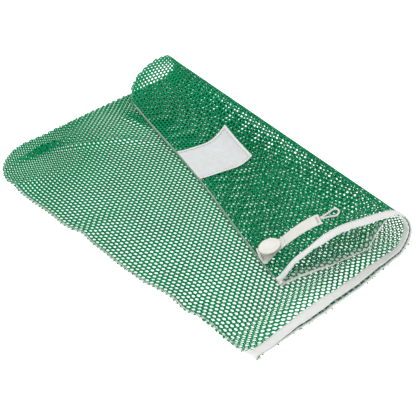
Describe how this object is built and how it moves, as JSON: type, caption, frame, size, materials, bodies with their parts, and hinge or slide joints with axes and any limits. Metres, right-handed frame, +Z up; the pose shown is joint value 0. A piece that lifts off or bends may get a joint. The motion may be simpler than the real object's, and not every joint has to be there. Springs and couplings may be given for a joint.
{
  "type": "mesh produce bag",
  "caption": "Folded open-mesh produce bag with overlocked seams, a bound open mouth, a label patch and a closure strap with a button and an elastic loop.",
  "frame": {"origin": "centre of the whole folded bag's box in plan, on the surface that it lies on", "axes": "+X from the sewn closed end to the open mouth, +Y from the front side seam to the fold, +Z up off the table"},
  "size_m": [0.6171, 0.4304, 0.0646],
  "materials": {
    "green_netting": "knitted polyester, slight sheen",
    "overlock_thread": "matte textured thread",
    "binding_tape": "matte woven tape",
    "sewing_thread": "matte thread",
    "strap_tape": "matte twill tape",
    "patch_cloth": "smooth coated cloth",
    "hem_cloth": "smooth coated cloth",
    "button_rubber": "satin off-white rubber",
    "elastic_cord": "braided elastic"
  },
  "bodies": {
    "bag_base": {"base_outer_net": "green_netting", "base_inner_net": "green_netting", "front_side_seam": "overlock_thread", "base_end_seam": "overlock_thread", "base_outer_binding": "binding_tape", "base_inner_binding": "binding_tape", "base_inner_binding_stitches": "sewing_thread", "front_corner_tape": "binding_tape"},
    "flap": {"flap_outer_net": "green_netting", "flap_inner_net": "green_netting", "back_side_seam": "overlock_thread", "flap_end_seam": "overlock_thread", "flap_outer_binding": "binding_tape", "flap_inner_binding": "binding_tape", "flap_outer_binding_stitches": "sewing_thread", "flap_inner_binding_stitches": "sewing_thread", "back_corner_tape": "binding_tape", "id_patch": "patch_cloth", "id_patch_hem": "hem_cloth", "id_patch_stitches": "sewing_thread", "strap_root": "strap_tape", "strap_root_tack": "sewing_thread", "button_shank": "sewing_thread"},
    "button": {"button_disc": "button_rubber"},
    "strap": {"closure_strap": "strap_tape", "strap_end_tack": "sewing_thread"},
    "loop": {"elastic_loop": "elastic_cord"}
  },
  "joints": [
    {"name": "flap_fold", "type": "hinge", "parent": "bag_base", "child": "flap", "pos_m": [-0.30223, 0.21608, 0.0254], "axis": [-0.984, 0.1782, -0.0093], "range_deg": [0, 174]},
    {"name": "button_swivel", "type": "hinge", "parent": "flap", "child": "button", "pos_m": [0.18339, -0.05501, 0.01754], "axis": [-0.1991, -0.2536, 0.9466], "range_deg": [-45, 45]},
    {"name": "strap_lift", "type": "hinge", "parent": "flap", "child": "strap", "pos_m": [0.19293, -0.03991, 0.03247], "axis": [0.8201, -0.5694, 0.0562], "range_deg": [0, 125]},
    {"name": "loop_swing", "type": "hinge", "parent": "strap", "child": "loop", "pos_m": [0.21847, 0.00305, 0.0607], "axis": [0.8391, -0.544, -0.0077], "range_deg": [0, 80]}
  ]
}
